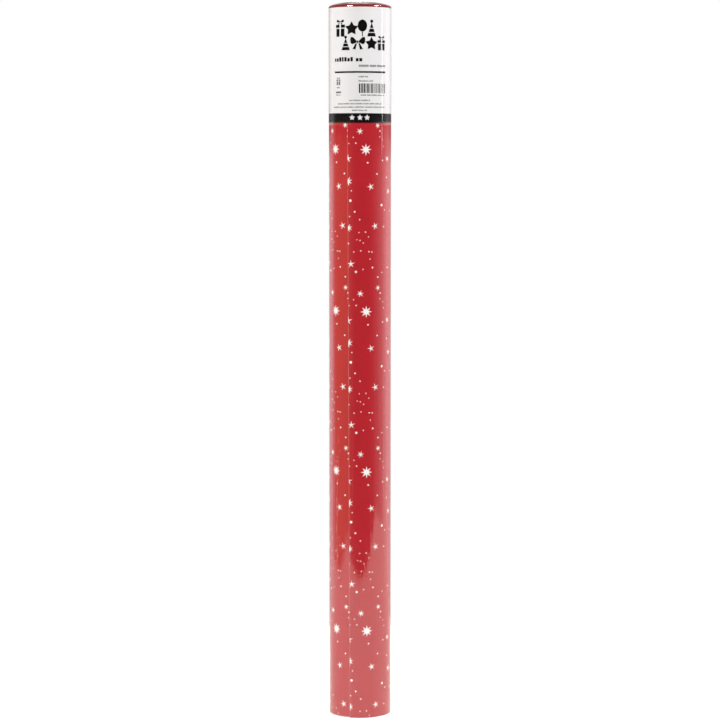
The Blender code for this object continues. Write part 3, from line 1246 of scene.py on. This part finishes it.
film_sleeve = build_film()
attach(film_sleeve, "wrapper")
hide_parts("shrink_film")
print("film", len(film_sleeve.data.polygons), "faces")

# %% [markdown]
# ## Table, backdrop and lights
#
# The roll stands on a white light table that glows a little, so there is no shadow and no grey horizon.
# The table stops short of the camera, which leaves its pale reflection only in the lower part of the film.
#
# A glossy cylinder mirrors the whole room in its flanks, so the room is painted as a ring of soft pale and
# dark walls: pale behind and beside the roll, dark in front. That gives two pale flanks and a deep colour
# between. Near the floor the walls are brighter than above it, so the film is hazier low down.
#
# Two keys high up, at the front left and the right, light the paper. A narrow strip on the right makes the
# bright line down the label, and a low warm one on the left makes a soft line on the lower left flank. Two
# fills behind light the back of the roll and don't show in the gloss.

# %% Light table
def table_finish():
    """White acrylic, lit from below, with a faint tooth."""
    material, tree, shader = start_material("white_acrylic", 0.5, Emission_Strength=1.03)
    shader.inputs["Emission Color"].default_value = (1.0, 0.985, 0.90, 1)
    place = add_node(tree, "ShaderNodeTexCoord").outputs["Object"]
    tooth = noise_texture(tree, place, 900.0)
    tone = mix_colors(tree, tooth, (0.19, 0.19, 0.19, 1), (0.23, 0.23, 0.23, 1))
    tree.links.new(tone, shader.inputs["Base Color"])
    tree.links.new(bump(tree, tooth, 0.00005), shader.inputs["Normal"])
    return material


TABLE_LEFT, TABLE_RIGHT = -0.63, 0.92
TABLE_FRONT, TABLE_BACK = -0.60, 0.32
table_mesh = bpy.data.meshes.new("light_table")
table_corners = [
    (TABLE_LEFT, TABLE_FRONT, 0),
    (TABLE_RIGHT, TABLE_FRONT, 0),
    (TABLE_RIGHT, TABLE_BACK, 0),
    (TABLE_LEFT, TABLE_BACK, 0),
]
table_mesh.from_pydata(table_corners, [], [(0, 1, 2, 3)])
table_mesh.materials.append(table_finish())
light_table = bpy.data.objects.new("light_table", table_mesh)
bpy.context.scene.collection.objects.link(light_table)
print("table", light_table.name)

# %% Room light
world = bpy.data.worlds.new("studio")
bpy.context.scene.world = world
world.use_nodes = True
sky_tree = world.node_tree
sky = sky_tree.nodes["Background"]
look = add_node(sky_tree, "ShaderNodeTexCoord").outputs["Generated"]
toward = add_node(sky_tree, "ShaderNodeSeparateXYZ", {0: look})
front = math_node(sky_tree, "MULTIPLY", toward.outputs["Y"], -1.0)
azimuth = math_node(sky_tree, "ARCTAN2", toward.outputs["X"], front)
around = add_node(
    sky_tree,
    "ShaderNodeMapRange",
    {"Value": azimuth, "From Min": -math.pi, "From Max": math.pi},
)
print("world", world.name)

# %% Wall colours
LOW_WALLS = [              # below the horizon: degrees round from the front, and half the brightness
    (-180, (0.38, 0.38, 0.38)),
    (-150, (0.42, 0.42, 0.42)),
    (-135, (0.60, 0.60, 0.60)),
    (-124, (0.64, 0.64, 0.64)),
    (-112, (0.31, 0.29, 0.26)),
    (-98, (0.25, 0.19, 0.11)),
    (-42, (0.24, 0.18, 0.10)),
    (-30, (0.08, 0.07, 0.06)),
    (-18, (0.02, 0.02, 0.02)),
    (32, (0.015, 0.015, 0.015)),
    (46, (0.05, 0.05, 0.05)),
    (61, (0.14, 0.14, 0.14)),
    (75, (0.26, 0.26, 0.26)),
    (89, (0.42, 0.42, 0.42)),
    (106, (0.68, 0.68, 0.68)),
    (119, (0.78, 0.78, 0.78)),
    (135, (0.55, 0.55, 0.55)),
    (150, (0.40, 0.40, 0.40)),
    (180, (0.38, 0.38, 0.38)),
]
HIGH_WALLS = [             # above the horizon
    (-180, (0.26, 0.12, 0.10)),
    (-148, (0.06, 0.045, 0.042)),
    (-124, (0.28, 0.28, 0.28)),
    (-112, (0.13, 0.13, 0.13)),
    (-98, (0.02, 0.02, 0.02)),
    (-30, (0.012, 0.012, 0.012)),
    (61, (0.012, 0.012, 0.012)),
    (89, (0.04, 0.04, 0.04)),
    (106, (0.16, 0.16, 0.16)),
    (124, (0.24, 0.24, 0.24)),
    (148, (0.06, 0.045, 0.042)),
    (180, (0.26, 0.12, 0.10)),
]


print("stops", len(LOW_WALLS), "low and", len(HIGH_WALLS), "high")

# %% Room
def wall_band(stops):
    """Brightness round the room, as a colour ramp over the azimuth."""
    band = add_node(sky_tree, "ShaderNodeValToRGB", {0: around.outputs[0]})
    marks = band.color_ramp.elements
    for index, (degrees, color) in enumerate(stops):
        spot = (degrees + 180) / 360
        if index == 0:
            mark = marks[0]
        elif index == len(stops) - 1:
            mark = marks[-1]
        else:
            mark = marks.new(spot)
        mark.position = spot
        mark.color = (*color, 1)
    return band.outputs[0]


def share_above(start, end):
    """0 below one height of the view direction, 1 above the other."""
    made = add_node(
        sky_tree,
        "ShaderNodeMapRange",
        {"Value": toward.outputs["Z"], "From Min": start, "From Max": end},
        interpolation_type="SMOOTHSTEP",
    )
    return made.outputs[0]


walls = mix_colors(sky_tree, share_above(0.000, 0.013), wall_band(LOW_WALLS), wall_band(HIGH_WALLS))
DIM_CEILING = (0.075, 0.05, 0.042, 1)
WHITE_BACKDROP = (0.5, 0.5, 0.5, 1)    # white once the strength doubles it
room = mix_colors(sky_tree, share_above(0.16, 0.32), walls, DIM_CEILING)
seen = add_node(sky_tree, "ShaderNodeLightPath").outputs["Is Camera Ray"]
backdrop = mix_colors(sky_tree, seen, room, WHITE_BACKDROP)
sky_tree.links.new(backdrop, sky.inputs["Color"])
sky.inputs["Strength"].default_value = 2.0
print("room", len(sky_tree.nodes), "nodes")

# %% Softboxes
def softbox(name, location, aim, wide, tall, watts, color=(1, 1, 1), mirrored=True):
    """A rectangular lamp turned towards a point. The camera doesn't see it, nor gloss if not mirrored."""
    lamp = bpy.data.lights.new(name, "AREA")
    lamp.shape = "RECTANGLE"
    lamp.size = wide
    lamp.size_y = tall
    lamp.energy = watts
    lamp.color = color
    obj = bpy.data.objects.new(name, lamp)
    obj.location = location
    obj.rotation_euler = (Vector(aim) - Vector(location)).to_track_quat("-Z", "Y").to_euler()
    obj.visible_camera = False
    obj.visible_glossy = mirrored
    bpy.context.scene.collection.objects.link(obj)
    return obj


key_left = softbox("key_left", (-0.82, -0.88, 1.3), (0, 0, 0.3), 0.45, 0.45, 24.4)
key_right = softbox("key_right", (1.16, -0.31, 1.3), (0, 0, 0.3), 0.45, 0.45, 25.2)
strip_right = softbox("strip_right", (1.0, -0.030, 0.52), (0, 0, 0.49), 0.06, 0.22, 0.16)
strip_left = softbox("strip_left", (-1.0, 0.017, -0.01), (0, 0, 0.13), 0.10, 0.17, 0.24, (1.0, 0.85, 0.72))
fill_left = softbox("fill_left", (-0.75, 1.1, 1.4), (0, 0, 0.3), 0.6, 0.6, 9, mirrored=False)
fill_right = softbox("fill_right", (0.75, 1.1, 1.4), (0, 0, 0.3), 0.6, 0.6, 8, mirrored=False)
lamps = (key_left, key_right, strip_right, strip_left, fill_left, fill_right)
print("lamps", [lamp.name for lamp in lamps])

# %% Stage and finish
bpy.context.scene.view_settings.view_transform = "Standard"
light_table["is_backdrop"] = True
VISUAL_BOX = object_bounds()
[[list(point) for point in box] for box in (CAD_BOX, VISUAL_BOX)]
print("visual box", [[round(x / MM, 2) for x in p] for p in VISUAL_BOX])
